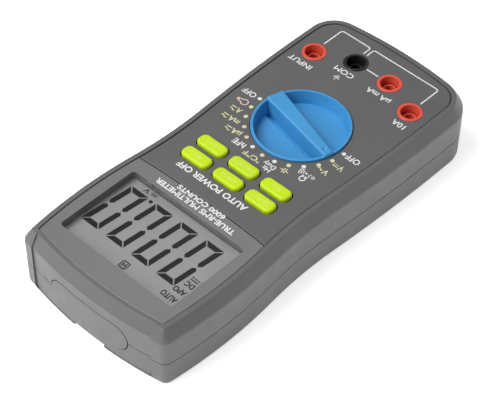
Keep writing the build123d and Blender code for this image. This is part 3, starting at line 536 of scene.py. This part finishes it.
def make_socket_legends():
    """Names of the sockets and the brackets that group them."""
    white = Artwork()
    y = KNOB_Y
    white.text("10A", -31.6, -25.0, y - 28.8, 2.8)
    white.text("µA mA", -16.8, -4.4, y - 36.2, 2.8)
    white.text("COM", 4.2, 14.2, y - 37.0, 2.8)
    white.text("INPUT", 21.0, 33.2, y - 28.8, 2.8)
    left = [(-27.1, y - 44.6), (-27.1, y - 56.5), (9.1, y - 56.5), (9.1, y - 51.8)]
    right = [(11.0, y - 51.8), (11.0, y - 56.5), (27.5, y - 56.5), (27.5, y - 44.6)]
    for bracket in (left, right):
        white.line(smooth_corners(bracket, BRACKET_ROUND), BRACKET_LINE)
    white.dash(-3.2, 3.2, y - 45.1, BRACKET_LINE)
    for rung, half in enumerate((1.6, 1.05, 0.5)):
        white.dash(9.4 - half, 9.4 + half, y - 32.2 - rung * 0.75, RUNG_LINE)
    white.line([(9.4, y - 30.6), (9.4, y - 32.2)], RUNG_LINE)
    white.finish("socket_legends", PANEL_Z, INK_WHITE)


def make_plain_titles():
    """Generic words on the panel and on the lens."""
    panel = Artwork()
    panel.text("AUTO POWER OFF", -16.5, 21.8, KNOB_Y + 50.5, 3.0, BOLD)
    panel.finish("panel_title", PANEL_Z, INK_WHITE)
    lens = Artwork()
    lens.text("TRUE-RMS MULTIMETER", -22.0, 21.2, KNOB_Y + 63.3, 2.6, BOLD)
    lens.text("6000 COUNTS", -13.5, 12.2, KNOB_Y + 59.9, 2.4, BOLD)
    lens.finish("lens_title", PANEL_Z, INK_WHITE)


def make_button_words():
    """Word on the top of each push button, in a lime lighter than the button: a painted highlight for the
    light caught by raised letters.
    """
    for words, y in zip(BUTTON_WORDS, BUTTON_ROWS_Y):
        for column, (button, word) in enumerate(words):
            x = (column - 1) * BUTTON_PITCH_X
            half = len(word) * WORD_LETTER_WIDTH / 2
            art = Artwork()
            art.text(word, x - half, x + half, y, WORD_HEIGHT, weight=0)
            art.finish(button + "_word", BUTTON_TOP, LIME_WORD_HIGHLIGHT, button, "button_lime")


def make_socket_collars():
    """Ring of plastic on top of each contact sleeve."""
    inner, outer = COLLAR_R
    low, high = COLLAR_Z
    profile = (
        (inner, low), (outer, low), (outer, high - COLLAR_EDGE), (outer - COLLAR_EDGE, high), (inner, high)
    )
    for name, (x, y) in SOCKETS.items():
        shape = bmesh.new()
        rings = []
        for side in range(COLLAR_SIDES):
            angle = 2 * math.pi * side / COLLAR_SIDES
            rings.append([
                shape.verts.new(((x + r * math.cos(angle)) * MM, (y + r * math.sin(angle)) * MM, z * MM))
                for r, z in profile
            ])
        for ring, ahead in zip(rings, rings[1:] + rings[:1]):
            for index in range(len(profile)):
                after = (index + 1) % len(profile)
                shape.faces.new((ring[index], ahead[index], ahead[after], ring[after]))
        slot = "socket_black" if name == "com" else "socket_red"
        new_piece("collar_" + name, shape, MATERIALS[slot], "case")


# ---------------------------------------------------------------- display

def lcd_digit(art, x_left, y_low):
    """A zero made of six segments, leaning to the right."""
    width, height = DIGIT_SIZE
    w = DIGIT_STROKE
    half = height / 2
    gap = DIGIT_GAP

    def place(points):
        art.polygon([(x_left + px + DIGIT_SLANT * py, y_low + py) for px, py in points])

    place([(gap, 0), (width - gap, 0), (width - gap - w, w), (gap + w, w)])
    place([(gap, height), (gap + w, height - w), (width - gap - w, height - w), (width - gap, height)])
    for side in (0, 1):
        outer = width * side
        inner = outer + (w if side == 0 else -w)
        middle = (outer + inner) / 2
        for low, sign in ((0, 1), (height, -1)):
            place([
                (outer, low + sign * gap), (inner, low + sign * (w + gap)),
                (inner, half - sign * (gap + w / 2)), (middle, half - sign * gap),
                (outer, half - sign * (gap + w / 2)),
            ])


def make_lcd_artwork():
    """Digits and annunciators, all dark, on the glass of the display."""
    art = Artwork()
    for x in DIGIT_X:
        lcd_digit(art, x, DIGIT_LOW)
    art.polygon([(15.7, 42.9), (17.3, 42.9), (17.3, 44.5), (15.7, 44.5)])
    art.text("m V", 16.7, 23.2, 40.5, 2.4)
    art.text("AUTO", -28.3, -20.3, 73.9, 2.6, BOLD)
    art.text("APO", -28.3, -22.3, 69.1, 2.6, BOLD)
    art.text("DC", -28.3, -23.9, 64.4, 2.5, BOLD)
    art.dash(-28.1, -23.9, 61.7, SYMBOL_LINE)
    for x in (-28.1, -26.6, -25.1):
        art.dash(x, x + 1.1, 60.5, SYMBOL_LINE)
    art.text("H", -1.3, 0.7, 74.6, 2.3, BOLD)
    hold_frame = [(-0.3, 72.8), (1.4, 72.8), (1.4, 76.4), (-2.0, 76.4), (-2.0, 72.8), (-0.3, 72.8)]
    art.line(smooth_corners(hold_frame, 0.6), SYMBOL_LINE)
    art.finish("lcd_segments", LCD_Z, INK_LCD, slot="lcd_film")


def rounded_prism(width, height, radius, low, high, y):
    """Closed bmesh of a rounded rectangle between two heights, in metres."""
    shape = bmesh.new()
    points = []
    for x_side, y_side, start in ((1, 1, 0), (-1, 1, 90), (-1, -1, 180), (1, -1, 270)):
        centre = (x_side * (width / 2 - radius), y_side * (height / 2 - radius))
        points += arc(*centre, radius, start, start + 90, 8)
    rings = [[shape.verts.new((px * MM, (py + y) * MM, z * MM)) for px, py in points] for z in (low, high)]
    shape.faces.new(list(reversed(rings[0])))
    shape.faces.new(rings[1])
    count = len(points)
    for index in range(count):
        ahead = (index + 1) % count
        shape.faces.new((rings[0][index], rings[0][ahead], rings[1][ahead], rings[1][index]))
    return shape


def make_lens():
    """Lens in two pieces: the printed border, and the clear window within it."""
    cad = frame["nodes"]["display_lens"]
    border = bpy.data.objects.new("lens_border", cad.data.copy())
    bpy.context.scene.collection.objects.link(border)
    width, height = WINDOW
    opening = rounded_prism(
        width, height, WINDOW_ROUND, LENS_LOW_Z - OVERCUT, PANEL_Z + OVERCUT, WINDOW_Y
    )
    cutter_mesh = bpy.data.meshes.new("cutter")
    opening.to_mesh(cutter_mesh)
    opening.free()
    cutter = bpy.data.objects.new("cutter", cutter_mesh)
    bpy.context.scene.collection.objects.link(cutter)
    cut = border.modifiers.new("cut", "BOOLEAN")
    cut.operation = "DIFFERENCE"
    cut.object = cutter
    bpy.context.view_layer.update()
    mesh = bpy.data.meshes.new_from_object(border.evaluated_get(bpy.context.evaluated_depsgraph_get()))
    border.modifiers.remove(cut)
    border.data = mesh
    bpy.data.objects.remove(cutter)
    border.data.materials.clear()
    border.data.materials.append(LENS_PRINT)
    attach(border, "case")
    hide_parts("display_lens")
    pane = rounded_prism(
        width - PANE_GAP, height - PANE_GAP, WINDOW_ROUND,
        PANEL_Z - PANE_THICK, PANEL_Z - PANE_SUNK, WINDOW_Y,
    )
    new_piece("lens_window", pane, MATERIALS["lens_clear"], "case")


# ---------------------------------------------------------------- stage

def make_camera():
    azimuth, elevation, roll = (math.radians(a) for a in (CAMERA_AZIMUTH, CAMERA_ELEVATION, CAMERA_ROLL))
    back = Vector((
        math.cos(elevation) * math.cos(azimuth), math.cos(elevation) * math.sin(azimuth), math.sin(elevation)
    ))
    level = (-back).cross(Vector((0, 0, 1))).normalized()
    upright = level.cross(-back)
    right = math.cos(roll) * level + math.sin(roll) * upright
    up = math.cos(roll) * upright - math.sin(roll) * level
    data = bpy.data.cameras.new("camera")
    data.lens = CAMERA_LENS
    data.clip_end = 20
    camera = bpy.data.objects.new("camera", data)
    camera.matrix_world = Matrix.Translation((Vector(CAMERA_TARGET) + back * CAMERA_DISTANCE) * MM) @ Matrix(
        (right, up, back)
    ).transposed().to_4x4()
    bpy.context.scene.collection.objects.link(camera)
    bpy.context.scene.camera = camera


def softbox(name, azimuth, elevation, distance, size, power):
    """Square area light aimed at the middle of the meter; distance and size in metres."""
    azimuth, elevation = math.radians(azimuth), math.radians(elevation)
    away = Vector((
        math.cos(elevation) * math.cos(azimuth), math.cos(elevation) * math.sin(azimuth), math.sin(elevation)
    ))
    data = bpy.data.lights.new(name, "AREA")
    data.size = size
    data.energy = power
    light = bpy.data.objects.new(name, data)
    light.location = away * distance
    light.rotation_euler = away.to_track_quat("Z", "Y").to_euler()
    bpy.context.scene.collection.objects.link(light)


def make_stage():
    world = bpy.data.worlds.new("studio")
    world.use_nodes = True
    background = world.node_tree.nodes["Background"]
    background.inputs["Color"].default_value = (1, 1, 1, 1)
    background.inputs["Strength"].default_value = WORLD_GLOW
    bpy.context.scene.world = world
    bpy.context.scene.view_settings.view_transform = "Standard"
    for lamp in LAMPS:
        softbox(*lamp)
    floor_surface = Surface("floor")
    tone = floor_surface.remap(floor_surface.noise(60.0), 0, 1)
    floor_surface.link(floor_surface.mix(tone, (0.93, 0.93, 0.93), (0.95, 0.95, 0.95)), "Base Color")
    floor_surface.set(Roughness=0.7, Emission_Color=(1, 1, 1, 1), Emission_Strength=FLOOR_GLOW)
    sheet = bmesh.new()
    bmesh.ops.create_grid(sheet, x_segments=8, y_segments=8, size=FLOOR_HALF)
    mesh = bpy.data.meshes.new("floor")
    sheet.to_mesh(mesh)
    sheet.free()
    mesh.materials.append(floor_surface.material)
    floor = bpy.data.objects.new("floor", mesh)
    bpy.context.scene.collection.objects.link(floor)


def dress_cad():
    """Gives each CAD node the material of its slot."""
    for part in frame["record"]["subparts"]:
        node = frame["nodes"][part["node"]]
        node.data.materials.clear()
        node.data.materials.append(MATERIALS[part["material_slot"]])


dress_cad()
make_lens()
make_scale()
make_socket_legends()
make_plain_titles()
make_button_words()
make_socket_collars()
make_lcd_artwork()
make_camera()
make_stage()
